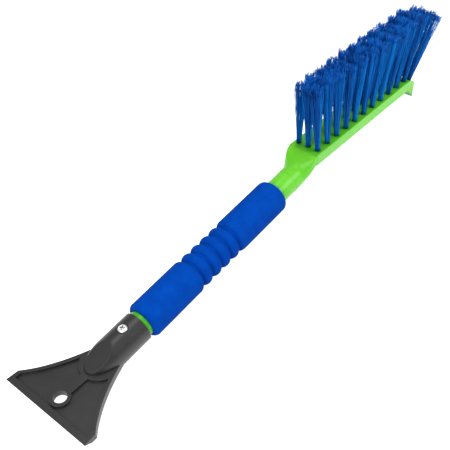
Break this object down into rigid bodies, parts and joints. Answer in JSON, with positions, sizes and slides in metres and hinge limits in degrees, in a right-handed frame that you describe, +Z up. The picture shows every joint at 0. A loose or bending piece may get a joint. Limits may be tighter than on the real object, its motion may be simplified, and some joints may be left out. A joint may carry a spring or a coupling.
{
  "type": "windshield ice scraper",
  "caption": "Car ice scraper: a flared blade screwed to one end of a tube handle with a foam grip, and a long snow brush with staple-set tufts on the other end.",
  "frame": {"origin": "the middle of the underside of its box, on the surface that it lies on, bristles up", "axes": "+X from the scraping edge to the far end of the brush, +Z up towards the bristle tips, +Y across it"},
  "size_m": [0.607, 0.0982, 0.1179],
  "materials": {
    "handle": "moulded polypropylene, satin gloss",
    "scraper": "moulded black plastic, satin",
    "grip": "matte closed-cell foam",
    "screw": "zinc-plated steel",
    "bristles": "polypropylene filament with frayed tips",
    "staples": "drawn flat wire"
  },
  "bodies": {
    "root": {"handle_body": "handle", "scraper_head": "scraper", "foam_grip": "grip", "head_screw": "screw", "staples_right_row": "staples", "staples_middle_row": "staples", "staples_left_row": "staples", "tuft_right_01": "bristles", "tuft_middle_01": "bristles", "tuft_left_01": "bristles", "tuft_right_02": "bristles", "tuft_middle_02": "bristles", "tuft_left_02": "bristles", "tuft_right_03": "bristles", "tuft_middle_03": "bristles", "tuft_left_03": "bristles", "tuft_right_04": "bristles", "tuft_middle_04": "bristles", "tuft_left_04": "bristles", "tuft_right_05": "bristles", "tuft_middle_05": "bristles", "tuft_left_05": "bristles", "tuft_right_06": "bristles", "tuft_middle_06": "bristles", "tuft_left_06": "bristles", "tuft_right_07": "bristles", "tuft_middle_07": "bristles", "tuft_left_07": "bristles", "tuft_right_08": "bristles", "tuft_middle_08": "bristles", "tuft_left_08": "bristles", "tuft_right_09": "bristles", "tuft_middle_09": "bristles", "tuft_left_09": "bristles", "tuft_right_10": "bristles", "tuft_middle_10": "bristles", "tuft_left_10": "bristles", "tuft_right_11": "bristles", "tuft_middle_11": "bristles", "tuft_left_11": "bristles", "tuft_right_12": "bristles", "tuft_middle_12": "bristles", "tuft_left_12": "bristles"}
  },
  "joints": []
}
